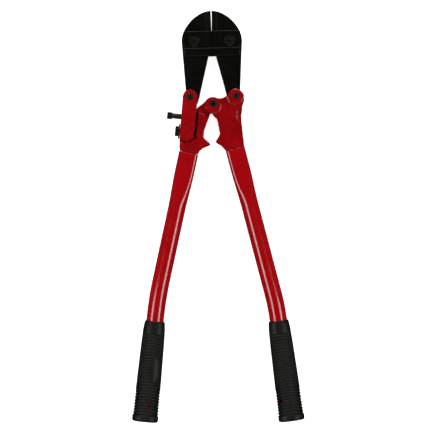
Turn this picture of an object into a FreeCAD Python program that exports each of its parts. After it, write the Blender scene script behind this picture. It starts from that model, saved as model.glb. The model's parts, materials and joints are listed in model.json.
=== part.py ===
import FreeCAD, Part
import math
import os

import Sketcher
from FreeCAD import Placement, Rotation, Vector

# Bolt cutters, 610 mm class, lying flat. Row frame: +Z up, jaws towards +Y, handles towards -Y.
# Drawing frame: origin on the centre pivot, at mid thickness. Every body's Placement moves it
# from there, so that the whole tool stands on Z = 0 with its box centred on X = Y = 0.

doc = FreeCAD.newDocument("bolt_cutters")

# ---------------------------------------------------------------- driving dimensions (mm, degrees)
SIZES = {
    # placing of the drawing frame in the row frame
    "centre_pos_x": 4.3,
    "centre_pos_y": 167.85,
    "mid_height": 17.5,
    # linkage
    "strap_pivot_x": 25.9,
    "strap_pivot_y": 92.6,
    "jaw_pivot_x": 34.0,
    "jaw_pivot_y": 10.7,
    # jaws
    "jaw_half_thick": 7.0,
    "edge_half_land": 0.8,
    "bevel_width": 8.5,
    "bevel_start_y": 100.0,
    "bevel_length": 45.0,
    # straps
    "strap_gap": 0.1,
    "strap_thick": 5.0,
    "strap_half_width": 41.6,
    "strap_top_y": 107.5,
    "strap_bottom_y": 70.8,
    "strap_bevel_y": 82.0,
    "strap_bevel_depth": 2.6,
    "strap_corner": 2.0,
    # strap bolts
    "strap_shank_rad": 6.0,
    "strap_cap_rad": 7.0,
    "strap_nut_flats": 17.0,
    # jaw bolts and centre bolt
    "jaw_shank_rad": 4.5,
    "left_cap_rad": 5.3,
    "right_cap_rad": 4.9,
    "centre_shank_rad": 4.0,
    "centre_cap_rad": 5.5,
    "cap_depth": 3.0,
    "cap_proud": 0.4,
    "small_nut_flats": 13.0,
    "nut_thick": 4.4,
    "run_gap": 0.05,
    # handle heads
    "head_half_thick": 12.5,
    "plain_half_thick": 10.8,
    "neck_half_thick": 10.5,
    "eye_half_thick": 4.7,
    "tongue_half_thick": 6.95,
    "fork_half_gap": 5.0,
    "fork_rad": 16.5,
    "ear_half_gap": 7.1,
    "ear_rad": 15.4,
    "lobe_rad": 12.7,
    "lobe_x": -0.9,
    "lobe_y": -2.2,
    "boss_rad": 11.5,
    "boss_x": 33.2,
    "boss_y": 10.5,
    "taper_start_y": -24.0,
    "taper_end_y": -60.0,
    "head_low_y": -90.0,
    "eye_rad": 10.4,
    "eye_x": -0.5,
    "eye_y": -0.5,
    "eye_slot_rad": 5.9,
    "eye_slot_half": 2.5,
    "eye_slot_turn": 32.0,
    "lobe_clear_rad": 19.2,
    # adjusting link, drawn on its own axis with the trunnion at its origin
    "trunnion_x": -40.0,
    "trunnion_y": -40.6,
    "link_turn": -6.671,
    "link_length": 51.65,
    "link_top_rad": 10.9,
    "link_end_rad": 10.3,
    "link_end_drop": 3.4,
    "link_gap": 0.1,
    "link_thick": 5.0,
    "trunnion_rad": 6.5,
    "block_height": 21.9,
    "block_wide": 15.0,
    "block_tall": 12.0,
    "screw_rad": 4.0,
    "screw_tip_x": 9.4,
    "screw_neck_x": -24.0,
    "screw_square": 10.2,
    "screw_square_long": 7.6,
    "lock_rad": 4.0,
    "lock_end_x": 10.5,
    "washer_face_x": -10.8,
    "washer_rad": 11.2,
    "washer_thick": 1.9,
    "lock_flats": 13.0,
    "lock_cap_thick": 5.0,
    # handles
    "left_mouth_x": -38.3,
    "left_mouth_y": -71.5,
    "left_tube_turn": -13.6,
    "left_bend": 6.4,
    "left_run": 221.2,
    "left_bend_rad": 530.0,
    "right_mouth_x": 30.5,
    "right_mouth_y": -67.0,
    "right_tube_turn": 13.3,
    "right_bend": 7.1,
    "right_run": 241.0,
    "right_bend_rad": 300.0,
    "tube_rad": 13.0,
    "tube_wall": 2.0,
    "mouth_half_wide": 14.5,
    "mouth_half_thick": 11.0,
    "mouth_blend": 74.0,
    "tang_half_wide": 10.4,
    "tang_half_thick": 8.4,
    "tang_length": 60.0,
    "pin_rad": 2.5,
    "pin_from_mouth": 12.0,
    "pin_half_length": 11.2,
    "left_grip_from_bend": 3.2,
    "right_grip_from_bend": 2.8,
    "grip_length": 149.3,
    "grip_end_wall": 7.0,
    "grip_bore_gap": 0.05,
    "grip_hole_rad": 2.2,
    "left_hole_from_end": 24.5,
    "left_hole_turn": 12.7,
    "right_hole_from_end": 32.0,
    "right_hole_turn": -42.8,
}

# Outlines in the drawing frame: corner x, corner y, corner radius.
OUTLINES = {
    # one jaw, drawn for the right-hand side; the cutting edge leans out by 0.8 degrees
    "jaw": [
        (0.1, 92.6, 2.0),
        (5.8, 70.9, 20.0),
        (18.1, 20.3, 10.0),
        (20.6, 9.5, 6.0),
        (23.5, 1.0, 4.5),
        (30.0, -3.6, 6.0),
        (38.7, -2.3, 5.0),
        (40.3, 19.7, 10.0),
        (44.6, 91.0, 60.0),
        (44.6, 100.5, 32.0),
        (38.5, 113.6, 54.0),
        (27.0, 127.2, 54.0),
        (11.5, 136.3, 44.0),
        (0.7, 138.0, 0.5),
    ],
    # right handle head: forging outline, the lobe and the boss are added as discs
    "rhead": [
        (-4.0, -12.0, 0.5),
        (-0.4, -18.2, 1.5),
        (4.6, -23.0, 6.0),
        (8.6, -45.0, 6.0),
        (0.8, -56.8, 3.0),
        (10.0, -62.4, 8.0),
        (16.4, -70.3, 0.4),
        (44.6, -63.6, 0.4),
        (40.8, -24.0, 60.0),
        (43.0, -5.0, 12.0),
        (46.1, 4.0, 6.0),
        (46.0, 12.4, 3.5),
        (42.8, 17.5, 2.5),
        (38.6, 17.2, 0.8),
        (31.0, 14.0, 1.0),
        (24.5, 17.3, 0.5),
        (18.8, 10.9, 3.0),
        (13.5, 8.2, 8.0),
        (7.5, 8.2, 8.0),
        (-2.5, 10.5, 0.5),
    ],
    # left handle head: eye plate, ridge, tongue for the link, nose and neck
    "lhead": [
        (-24.8, -5.6, 1.2),
        (-26.2, -8.6, 1.5),
        (-28.8, -31.0, 2.5),
        (-49.3, -28.9, 2.0),
        (-51.8, -49.0, 6.0),
        (-52.0, -68.0, 0.4),
        (-24.8, -74.6, 0.4),
        (-21.8, -69.0, 8.0),
        (-16.0, -65.0, 8.0),
        (-3.8, -60.6, 2.2),
        (-15.4, -49.8, 3.0),
        (-14.6, -40.0, 30.0),
        (-5.6, -16.8, 4.0),
        (3.0, -6.0, 1.0),
        (-6.2, 8.6, 1.0),
    ],
    # the thicker part of the left head, beside and below the link
    "ridge": [
        (-21.9, -12.8, 2.0),
        (-27.6, -46.0, 2.0),
        (-34.0, -56.2, 12.0),
        (-51.6, -56.6, 2.0),
        (-51.8, -68.0, 0.4),
        (-24.8, -74.6, 0.4),
        (-21.8, -69.0, 8.0),
        (-16.0, -65.0, 8.0),
        (-3.8, -60.6, 2.2),
        (-15.4, -49.8, 3.0),
        (-14.6, -40.0, 30.0),
        (-6.6, -19.4, 2.0),
    ],
}

# Grip sections: distance from the grip's top, half width, half thickness.
GRIP_SECTIONS = [
    (0.0, 13.7, 13.6),
    (3.0, 14.9, 14.2),
    (12.0, 16.2, 15.0),
    (30.0, 16.9, 15.4),
    (78.0, 17.9, 16.1),
    (131.0, 18.7, 16.7),
    (141.0, 19.2, 17.2),
    (145.0, 19.5, 17.5),
    (149.3, 18.7, 16.8),
]

for key, corners in OUTLINES.items():
    for number, (x, y, radius) in enumerate(corners, 1):
        SIZES[f"{key}_px{number}"] = x
        SIZES[f"{key}_py{number}"] = y
        SIZES[f"{key}_pr{number}"] = radius
for number, (at, wide, thick) in enumerate(GRIP_SECTIONS, 1):
    SIZES[f"grip_at{number}"] = at
    SIZES[f"grip_wide{number}"] = wide
    SIZES[f"grip_thick{number}"] = thick

sheet = doc.addObject("Spreadsheet::Sheet", "Dims")
for row, (alias, value) in enumerate(SIZES.items(), 1):
    sheet.set(f"A{row}", alias)
    sheet.set(f"B{row}", str(value))
    sheet.setAlias(f"B{row}", alias)
doc.recompute()


def cell(alias):
    return float(sheet.get(alias))


# ---------------------------------------------------------------- helpers
NODES = []


def keep(thing, label):
    thing.Label = label
    NODES.append(thing)
    return thing


def place(thing, x=0.0, y=0.0, turn=0.0, side=0.0):
    """Puts a body at a point of the drawing frame, turned about Z, in the row frame."""
    spot = Vector(cell("centre_pos_x") + x, cell("centre_pos_y") + y, cell("mid_height"))
    thing.Placement = Placement(spot, Rotation(Vector(0, 0, 1), turn) * Rotation(Vector(0, 1, 0), side))
    thing.setExpression("Placement.Base.z", "Dims.mid_height")


def origin_plane(body, role):
    return [item for item in body.Origin.OriginFeatures if item.Role == role][0]


def sketch(body, name, role="XY_Plane", level=None):
    made = body.newObject("Sketcher::SketchObject", name)
    made.AttachmentSupport = (origin_plane(body, role), [""])
    made.MapMode = "FlatFace"
    if level is not None:
        made.setExpression("AttachmentOffset.Base.z", level)
    return made


def bind(made, kind, *args):
    """Adds a constraint whose last argument is a formula on the sheet."""
    *places, formula = args
    value = doc_value(formula)
    number = made.addConstraint(Sketcher.Constraint(kind, *places, value))
    made.setExpression(f"Constraints[{number}]", formula)
    return number


def doc_value(formula):
    """The number a formula on the sheet has now."""
    names = {alias: cell(alias) for alias in SIZES if "Dims." + alias in formula}
    text = formula
    for alias in sorted(names, key=len, reverse=True):
        text = text.replace("Dims." + alias, repr(names[alias]))
    return float(FreeCAD.Units.parseQuantity(text).Value)


def circle(made, radius, x="0", y="0"):
    number = made.addGeometry(Part.Circle(Vector(doc_value(x), doc_value(y), 0), Vector(0, 0, 1), doc_value(radius)))
    if x == "0" and y == "0":
        made.addConstraint(Sketcher.Constraint("Coincident", number, 3, -1, 1))
    else:
        bind(made, "DistanceX", -1, 1, number, 3, x)
        bind(made, "DistanceY", -1, 1, number, 3, y)
    bind(made, "Radius", number, radius)
    return number


def outline(made, corners):
    """A closed outline of straight edges and tangent corner arcs; corners hold formulas x, y, radius."""
    points = [(Vector(doc_value(x), doc_value(y), 0), doc_value(radius)) for x, y, radius in corners]
    count = len(points)
    rounds = []
    for index, (here, radius) in enumerate(points):
        before = points[index - 1][0] - here
        after = points[(index + 1) % count][0] - here
        before.normalize()
        after.normalize()
        half = before.getAngle(after) / 2
        reach = radius / math.tan(half)
        middle = before + after
        middle.normalize()
        centre = here + middle * (radius / math.sin(half))
        rounds.append((here + before * reach, here + after * reach, centre, radius, before.cross(after).z))
    lines = []
    arcs = []
    marks = []
    for index in range(count):
        start = rounds[index][1]
        end = rounds[(index + 1) % count][0]
        lines.append(made.addGeometry(Part.LineSegment(start, end)))
    for index, (enter, leave, centre, radius, turn) in enumerate(rounds):
        first = math.atan2(enter.y - centre.y, enter.x - centre.x)
        last = math.atan2(leave.y - centre.y, leave.x - centre.x)
        if turn > 0:
            first, last = last, first
        if last < first:
            last += 2 * math.pi
        ring = Part.Circle(centre, Vector(0, 0, 1), radius)
        arcs.append((made.addGeometry(Part.ArcOfCircle(ring, first, last)), turn > 0))
        marks.append(made.addGeometry(Part.Point(points[index][0]), True))
    for index in range(count):
        arc, flipped = arcs[index]
        enter_end, leave_end = (2, 1) if flipped else (1, 2)
        made.addConstraint(Sketcher.Constraint("Tangent", lines[index - 1], 2, arc, enter_end))
        made.addConstraint(Sketcher.Constraint("Tangent", lines[index], 1, arc, leave_end))
        made.addConstraint(Sketcher.Constraint("PointOnObject", marks[index], 1, lines[index - 1]))
        made.addConstraint(Sketcher.Constraint("PointOnObject", marks[index], 1, lines[index]))
        x, y, radius = corners[index]
        bind(made, "DistanceX", -1, 1, marks[index], 1, x)
        bind(made, "DistanceY", -1, 1, marks[index], 1, y)
        bind(made, "Radius", arc, radius)


def corner_cells(key, flip=1):
    count = len(OUTLINES[key])
    sign = "" if flip > 0 else "-"
    return [
        (f"{sign}Dims.{key}_px{n}", f"Dims.{key}_py{n}", f"Dims.{key}_pr{n}")
        for n in range(1, count + 1)
    ]


def polygon(made, corners):
    """A closed outline of straight edges; corners hold formulas x, y."""
    points = [Vector(doc_value(x), doc_value(y), 0) for x, y in corners]
    lines = [
        made.addGeometry(Part.LineSegment(points[index], points[(index + 1) % len(points)]))
        for index in range(len(points))
    ]
    for index, (x, y) in enumerate(corners):
        made.addConstraint(Sketcher.Constraint("Coincident", lines[index - 1], 2, lines[index], 1))
        bind(made, "DistanceX", -1, 1, lines[index], 1, x)
        bind(made, "DistanceY", -1, 1, lines[index], 1, y)


def hexagon(made, flats):
    """A hexagon about the sketch's origin, given across its flats."""
    radius = doc_value(flats) / math.sqrt(3)
    points = [Vector(radius * math.cos(math.radians(60 * n)), radius * math.sin(math.radians(60 * n)), 0) for n in range(6)]
    lines = [made.addGeometry(Part.LineSegment(points[n], points[(n + 1) % 6])) for n in range(6)]
    ring = made.addGeometry(Part.Circle(Vector(0, 0, 0), Vector(0, 0, 1), radius), True)
    made.addConstraint(Sketcher.Constraint("Coincident", ring, 3, -1, 1))
    bind(made, "Radius", ring, f"({flats}) / sqrt(3)")
    for n in range(6):
        made.addConstraint(Sketcher.Constraint("Coincident", lines[n - 1], 2, lines[n], 1))
        made.addConstraint(Sketcher.Constraint("PointOnObject", lines[n], 1, ring))
    for n in range(1, 6):
        made.addConstraint(Sketcher.Constraint("Equal", lines[0], lines[n]))
    made.addConstraint(Sketcher.Constraint("PointOnObject", lines[0], 1, -1))


def volume(body):
    doc.recompute()
    shape = body.Tip.Shape if body.Tip else body.Shape
    return shape.Volume


def pad(body, made, length):
    feature = body.newObject("PartDesign::Pad", made.Name + "_pad")
    feature.Profile = made
    feature.Length = doc_value(length)
    feature.setExpression("Length", length)
    made.Visibility = False
    doc.recompute()
    return feature


def cut(body, made, length):
    """Cuts along the sketch's own normal."""
    before = volume(body)
    feature = body.newObject("PartDesign::Pocket", made.Name + "_cut")
    feature.Profile = made
    feature.Length = doc_value(length)
    feature.setExpression("Length", length)
    feature.Reversed = True
    after = volume(body)
    if not after < before - 1e-3:
        raise RuntimeError(f"{body.Label}: {made.Name} cuts nothing")
    return feature


def new_body(label):
    return keep(doc.addObject("PartDesign::Body", label), label)


def disc(body, name, level, height, radius, x="0", y="0"):
    made = sketch(body, name, level=level)
    circle(made, radius, x, y)
    return pad(body, made, height)


def drill(body, name, level, height, radius, x="0", y="0"):
    made = sketch(body, name, level=level)
    circle(made, radius, x, y)
    return cut(body, made, height)


# ---------------------------------------------------------------- jaws
def jaw(label, hand):
    sign = "" if hand > 0 else "-"
    body = new_body(label)
    blank = sketch(body, label + "_blank", level="-Dims.jaw_half_thick")
    outline(blank, corner_cells("jaw", hand))
    pad(body, blank, "2 * Dims.jaw_half_thick")
    # two bevels meet in a narrow land along the cutting edge
    for face, up in (("front", ""), ("back", "-")):
        bevel = sketch(body, f"{label}_{face}_bevel", "XZ_Plane", level="-(Dims.bevel_start_y + Dims.bevel_length)")
        polygon(
            bevel,
            [
                (f"{sign}(-1)", f"{up}(Dims.edge_half_land * 0.6)"),
                (f"{sign}(Dims.bevel_width)", f"{up}(Dims.jaw_half_thick + 0.2)"),
                (f"{sign}(-1)", f"{up}(Dims.jaw_half_thick + 0.2)"),
            ],
        )
        cut(body, bevel, "Dims.bevel_length")
    drill(
        body, label + "_strap_hole", "-Dims.jaw_half_thick - 1", "2 * Dims.jaw_half_thick + 2",
        "Dims.strap_shank_rad + Dims.run_gap", f"{sign}Dims.strap_pivot_x", "Dims.strap_pivot_y",
    )
    drill(
        body, label + "_tail_hole", "-Dims.jaw_half_thick - 1", "2 * Dims.jaw_half_thick + 2",
        "Dims.jaw_shank_rad + Dims.run_gap", f"{sign}Dims.jaw_pivot_x", "Dims.jaw_pivot_y",
    )
    place(body)
    return body


jaw("left_jaw", -1)
jaw("right_jaw", 1)


# ---------------------------------------------------------------- straps that join the jaws
def strap(label, face):
    body = new_body(label)
    inner = "(Dims.jaw_half_thick + Dims.strap_gap)"
    low = inner if face > 0 else f"-({inner} + Dims.strap_thick)"
    plate = sketch(body, label + "_plate", level=low)
    wide, high, deep = "Dims.strap_half_width", "Dims.strap_top_y", "Dims.strap_bottom_y"
    outline(
        plate,
        [
            (f"-{wide}", deep, "Dims.strap_corner"),
            (wide, deep, "Dims.strap_corner"),
            (wide, high, "Dims.strap_corner"),
            (f"-{wide}", high, "Dims.strap_corner"),
        ],
    )
    pad(body, plate, "Dims.strap_thick")
    # long bevel along the lower edge, on the outer face
    up = "" if face > 0 else "-"
    outer = f"({inner} + Dims.strap_thick)"
    bevel = sketch(body, label + "_bevel", "YZ_Plane", level="-Dims.strap_half_width - 1")
    polygon(
        bevel,
        [
            ("Dims.strap_bevel_y", f"{up}({outer} + 0.01)"),
            ("Dims.strap_bottom_y - 1", f"{up}({outer} - Dims.strap_bevel_depth)"),
            ("Dims.strap_bottom_y - 1", f"{up}({outer} + 0.01)"),
        ],
    )
    cut(body, bevel, "2 * Dims.strap_half_width + 2")
    for side, sign in (("left", "-"), ("right", "")):
        drill(
            body, f"{label}_{side}_hole", f"{low} - 1", "Dims.strap_thick + 2",
            "Dims.strap_shank_rad + Dims.run_gap", f"{sign}Dims.strap_pivot_x", "Dims.strap_pivot_y",
        )
        if face > 0:
            drill(
                body, f"{label}_{side}_seat", f"{outer} - Dims.cap_depth", "Dims.cap_depth + 1",
                "Dims.strap_cap_rad + Dims.run_gap", f"{sign}Dims.strap_pivot_x", "Dims.strap_pivot_y",
            )
    place(body)
    return body


strap("front_strap", 1)
strap("back_strap", -1)


# ---------------------------------------------------------------- pivot bolts and their nuts
def pivot_bolt(label, shank, cap, front, x, y):
    """A flat round cap let into the front plate, with a hexagon socket; the shank runs to the nut's end."""
    body = new_body(label)
    disc(body, label + "_shank", f"-({front} + Dims.nut_thick)", f"2 * ({front}) + Dims.nut_thick - 1", shank)
    disc(body, label + "_cap", f"{front} - Dims.cap_depth", "Dims.cap_depth + Dims.cap_proud", cap)
    socket = sketch(body, label + "_socket", level=f"{front} - Dims.cap_depth + 0.8")
    hexagon(socket, f"({cap}) * 0.86")
    cut(body, socket, "Dims.cap_depth + 1")
    place(body, x, y)
    return body


def pivot_nut(label, shank, flats, back, x, y, turn):
    body = new_body(label)
    blank = sketch(body, label + "_hexagon", level=f"-({back} + Dims.nut_thick)")
    hexagon(blank, flats)
    pad(body, blank, "Dims.nut_thick")
    drill(body, label + "_bore", f"-({back} + Dims.nut_thick + 1)", "Dims.nut_thick + 2", f"{shank} + Dims.run_gap")
    place(body, x, y, turn)
    return body


STRAP_FACE = "Dims.jaw_half_thick + Dims.strap_gap + Dims.strap_thick"
LINK_FACE = "Dims.ear_half_gap + Dims.link_thick"
HEAD_FACE = "Dims.head_half_thick"
for side, hand in (("left", -1), ("right", 1)):
    across = hand * cell("strap_pivot_x")
    along = cell("strap_pivot_y")
    pivot_bolt(f"{side}_strap_bolt", "Dims.strap_shank_rad", "Dims.strap_cap_rad", STRAP_FACE, across, along)
    pivot_nut(f"{side}_strap_nut", "Dims.strap_shank_rad", "Dims.strap_nut_flats", STRAP_FACE, across, along, 12 * hand)
for side, hand, cap, face in (
    ("left", -1, "Dims.left_cap_rad", LINK_FACE),
    ("right", 1, "Dims.right_cap_rad", HEAD_FACE),
):
    across = hand * cell("jaw_pivot_x")
    along = cell("jaw_pivot_y")
    pivot_bolt(f"{side}_jaw_bolt", "Dims.jaw_shank_rad", cap, face, across, along)
    pivot_nut(f"{side}_jaw_nut", "Dims.jaw_shank_rad", "Dims.small_nut_flats", face, across, along, 20 * hand)
pivot_bolt("center_bolt", "Dims.centre_shank_rad", "Dims.centre_cap_rad", HEAD_FACE, 0, 0)
pivot_nut("center_nut", "Dims.centre_shank_rad", "Dims.small_nut_flats", HEAD_FACE, 0, 0, 8)


# ---------------------------------------------------------------- tang that goes into the tube
def tang(body, label, mouth_x, mouth_y, turn):
    """An oval tang, square to the tube's mouth; it starts a little inside the neck."""
    lead = 12.0
    along = Vector(math.sin(math.radians(turn)), -math.cos(math.radians(turn)), 0)
    start = Vector(mouth_x, mouth_y, 0) - along * lead
    # sketch x goes across the handle, sketch y goes down through its thickness
    frame = Placement(start, Rotation(Vector(0, 0, 1), turn) * Rotation(Vector(1, 0, 0), 90))
    on_plane = origin_plane(body, "XY_Plane")
    made = body.newObject("Sketcher::SketchObject", label + "_tang")
    made.AttachmentSupport = (on_plane, [""])
    made.MapMode = "FlatFace"
    made.AttachmentOffset = frame
    wide, thick = cell("tang_half_wide"), cell("tang_half_thick")
    number = made.addGeometry(Part.Ellipse(Vector(wide, 0, 0), Vector(0, thick, 0), Vector(0, 0, 0)))
    made.exposeInternalGeometry(number)
    made.addConstraint(Sketcher.Constraint("Coincident", number, 3, -1, 1))
    made.addConstraint(Sketcher.Constraint("Horizontal", number + 1))
    bind(made, "DistanceX", -1, 1, number + 1, 1 if made.Geometry[number + 1].StartPoint.x > 0 else 2, "Dims.tang_half_wide")
    bind(made, "DistanceY", -1, 1, number + 2, 1 if made.Geometry[number + 2].StartPoint.y > 0 else 2, "Dims.tang_half_thick")
    feature = pad(body, made, f"Dims.tang_length + {lead}")
    return feature


# ---------------------------------------------------------------- right handle head, the forked one
def right_head():
    label = "right_handle_head"
    body = new_body(label)
    low, tall = "-Dims.head_half_thick", "2 * Dims.head_half_thick"
    forging = sketch(body, label + "_forging", level=low)
    outline(forging, corner_cells("rhead"))
    pad(body, forging, tall)
    disc(body, label + "_lobe", low, tall, "Dims.lobe_rad", "Dims.lobe_x", "Dims.lobe_y")
    disc(body, label + "_boss", low, tall, "Dims.boss_rad", "Dims.boss_x", "Dims.boss_y")
    # the forging thins towards the tube
    for face, up in (("front", ""), ("back", "-")):
        taper = sketch(body, f"{label}_{face}_taper", "YZ_Plane", level="-80")
        polygon(
            taper,
            [
                ("Dims.taper_start_y", f"{up}(Dims.head_half_thick + 0.01)"),
                ("Dims.taper_end_y", f"{up}Dims.neck_half_thick"),
                ("Dims.head_low_y", f"{up}Dims.neck_half_thick"),
                ("Dims.head_low_y", f"{up}(Dims.head_half_thick + 1)"),
                ("Dims.taper_start_y", f"{up}(Dims.head_half_thick + 1)"),
            ],
        )
        cut(body, taper, "160")
    drill(body, label + "_fork", "-Dims.fork_half_gap", "2 * Dims.fork_half_gap", "Dims.fork_rad")
    drill(
        body, label + "_ears", "-Dims.ear_half_gap", "2 * Dims.ear_half_gap", "Dims.ear_rad",
        "Dims.jaw_pivot_x", "Dims.jaw_pivot_y",
    )
    drill(body, label + "_centre_hole", f"{low} - 1", f"{tall} + 2", "Dims.centre_shank_rad + Dims.run_gap")
    drill(
        body, label + "_centre_seat", "Dims.head_half_thick - Dims.cap_depth", "Dims.cap_depth + 1",
        "Dims.centre_cap_rad + Dims.run_gap",
    )
    drill(
        body, label + "_jaw_hole", f"{low} - 1", f"{tall} + 2", "Dims.jaw_shank_rad + Dims.run_gap",
        "Dims.jaw_pivot_x", "Dims.jaw_pivot_y",
    )
    drill(
        body, label + "_jaw_seat", "Dims.head_half_thick - Dims.cap_depth", "Dims.cap_depth + 1",
        "Dims.right_cap_rad + Dims.run_gap", "Dims.jaw_pivot_x", "Dims.jaw_pivot_y",
    )
    tang(body, label, cell("right_mouth_x"), cell("right_mouth_y"), cell("right_tube_turn"))
    place(body)
    return body


# ---------------------------------------------------------------- left handle head, with eye and tongue
def left_head():
    label = "left_handle_head"
    body = new_body(label)
    plate = sketch(body, label + "_plate", level="-Dims.tongue_half_thick")
    outline(plate, corner_cells("lhead"))
    pad(body, plate, "2 * Dims.tongue_half_thick")
    disc(body, label + "_eye", "-Dims.eye_half_thick", "2 * Dims.eye_half_thick", "Dims.eye_rad", "Dims.eye_x", "Dims.eye_y")
    ridge = sketch(body, label + "_ridge", level="-Dims.plain_half_thick")
    outline(ridge, corner_cells("ridge"))
    pad(body, ridge, "2 * Dims.plain_half_thick")
    # the eye plate is thinned on both faces, so that it turns between the right head's lobes
    rise = "Dims.plain_half_thick - Dims.eye_half_thick + 1"
    drill(body, label + "_front_clear", "Dims.eye_half_thick", rise, "Dims.lobe_clear_rad")
    drill(body, label + "_back_clear", "-Dims.plain_half_thick - 1", rise, "Dims.lobe_clear_rad")
    # long hole for the centre bolt: the open pivot of the linkage has its clearance here
    half, radius = cell("eye_slot_half"), cell("eye_slot_rad")
    slot = sketch(body, label + "_eye_slot")
    slot.AttachmentOffset = Placement(Vector(0, 0, 0), Rotation(Vector(0, 0, 1), cell("eye_slot_turn")))
    slot.setExpression("AttachmentOffset.Base.z", "-Dims.eye_half_thick - 1")
    east = slot.addGeometry(Part.ArcOfCircle(Part.Circle(Vector(half, 0, 0), Vector(0, 0, 1), radius), -math.pi / 2, math.pi / 2))
    west = slot.addGeometry(Part.ArcOfCircle(Part.Circle(Vector(-half, 0, 0), Vector(0, 0, 1), radius), math.pi / 2, 1.5 * math.pi))
    top = slot.addGeometry(Part.LineSegment(Vector(half, radius, 0), Vector(-half, radius, 0)))
    low = slot.addGeometry(Part.LineSegment(Vector(-half, -radius, 0), Vector(half, -radius, 0)))
    slot.addConstraint(Sketcher.Constraint("Tangent", east, 2, top, 1))
    slot.addConstraint(Sketcher.Constraint("Tangent", top, 2, west, 1))
    slot.addConstraint(Sketcher.Constraint("Tangent", west, 2, low, 1))
    slot.addConstraint(Sketcher.Constraint("Tangent", low, 2, east, 1))
    slot.addConstraint(Sketcher.Constraint("PointOnObject", east, 3, -1))
    slot.addConstraint(Sketcher.Constraint("PointOnObject", west, 3, -1))
    bind(slot, "DistanceX", -1, 1, east, 3, "Dims.eye_slot_half")
    bind(slot, "DistanceX", west, 3, -1, 1, "Dims.eye_slot_half")
    bind(slot, "Radius", east, "Dims.eye_slot_rad")
    cut(body, slot, "2 * Dims.eye_half_thick + 2")
    drill(
        body, label + "_trunnion_hole", "-Dims.plain_half_thick - 1", "2 * Dims.plain_half_thick + 2",
        "Dims.trunnion_rad + Dims.run_gap", "Dims.trunnion_x", "Dims.trunnion_y",
    )
    # cross hole for the lock bolt, along the link's own X axis through the trunnion
    turn = cell("link_turn")
    bore = body.newObject("Sketcher::SketchObject", label + "_lock_bore")
    bore.AttachmentSupport = (origin_plane(body, "XY_Plane"), [""])
    bore.MapMode = "FlatFace"
    across = Vector(math.cos(math.radians(turn)), math.sin(math.radians(turn)), 0)
    start = Vector(cell("trunnion_x"), cell("trunnion_y"), 0) - across * 14
    bore.AttachmentOffset = Placement(start, Rotation(Vector(0, 0, 1), turn) * Rotation(Vector(0, 1, 0), 90))
    circle(bore, "Dims.lock_rad + Dims.run_gap")
    cut(body, bore, "26")
    tang(body, label, cell("left_mouth_x"), cell("left_mouth_y"), cell("left_tube_turn"))
    place(body)
    return body


right_head()
left_head()


# ---------------------------------------------------------------- adjusting link on the left side
def on_link(across, along):
    """A point of the link's own frame, in the drawing frame."""
    turn = math.radians(cell("link_turn"))
    return (
        cell("trunnion_x") + across * math.cos(turn) - along * math.sin(turn),
        cell("trunnion_y") + across * math.sin(turn) + along * math.cos(turn),
    )


def link_plate(label, face):
    body = new_body(label)
    low = "Dims.ear_half_gap" if face > 0 else "-(Dims.ear_half_gap + Dims.link_thick)"
    plate = sketch(body, label + "_plate", level=low)
    top, end = cell("link_top_rad"), cell("link_end_rad")
    length, drop = cell("link_length"), cell("link_end_drop")
    # two end arcs joined by their common tangents
    lean = math.asin((top - end) / (length + drop))
    side = Vector(math.cos(lean), -math.sin(lean), 0)
    mirrored = Vector(-side.x, side.y, 0)
    upper, lower = Vector(0, length, 0), Vector(0, -drop, 0)
    cap = plate.addGeometry(Part.ArcOfCircle(Part.Circle(upper, Vector(0, 0, 1), top), -lean, math.pi + lean))
    left = plate.addGeometry(Part.LineSegment(upper + mirrored * top, lower + mirrored * end))
    foot = plate.addGeometry(Part.ArcOfCircle(Part.Circle(lower, Vector(0, 0, 1), end), math.pi + lean, 2 * math.pi - lean))
    right = plate.addGeometry(Part.LineSegment(lower + side * end, upper + side * top))
    for first, then in ((cap, left), (left, foot), (foot, right), (right, cap)):
        plate.addConstraint(Sketcher.Constraint("Tangent", first, 2, then, 1))
    plate.addConstraint(Sketcher.Constraint("PointOnObject", cap, 3, -2))
    plate.addConstraint(Sketcher.Constraint("PointOnObject", foot, 3, -2))
    bind(plate, "DistanceY", -1, 1, cap, 3, "Dims.link_length")
    bind(plate, "DistanceY", foot, 3, -1, 1, "Dims.link_end_drop")
    bind(plate, "Radius", cap, "Dims.link_top_rad")
    bind(plate, "Radius", foot, "Dims.link_end_rad")
    pad(body, plate, "Dims.link_thick")
    drill(body, label + "_trunnion_hole", f"{low} - 1", "Dims.link_thick + 2", "Dims.trunnion_rad + Dims.run_gap")
    drill(
        body, label + "_jaw_hole", f"{low} - 1", "Dims.link_thick + 2", "Dims.jaw_shank_rad + Dims.run_gap",
        "0", "Dims.link_length",
    )
    if face > 0:
        drill(
            body, label + "_jaw_seat", "Dims.ear_half_gap + Dims.link_thick - Dims.cap_depth", "Dims.cap_depth + 1",
            "Dims.left_cap_rad + Dims.run_gap", "0", "Dims.link_length",
        )
    place(body, cell("trunnion_x"), cell("trunnion_y"), cell("link_turn"))
    return body


link_plate("front_link_plate", 1)
link_plate("back_link_plate", -1)

trunnion = new_body("link_trunnion")
disc(
    trunnion, "link_trunnion_barrel", "-(Dims.ear_half_gap + Dims.link_thick) - 0.3",
    "2 * (Dims.ear_half_gap + Dims.link_thick) + 0.6", "Dims.trunnion_rad",
)
cross = sketch(trunnion, "link_trunnion_thread", "YZ_Plane", level="-Dims.trunnion_rad - 1")
circle(cross, "Dims.lock_rad + Dims.run_gap")
cut(trunnion, cross, "2 * Dims.trunnion_rad + 2")
place(trunnion, cell("trunnion_x"), cell("trunnion_y"), cell("link_turn"))

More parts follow.
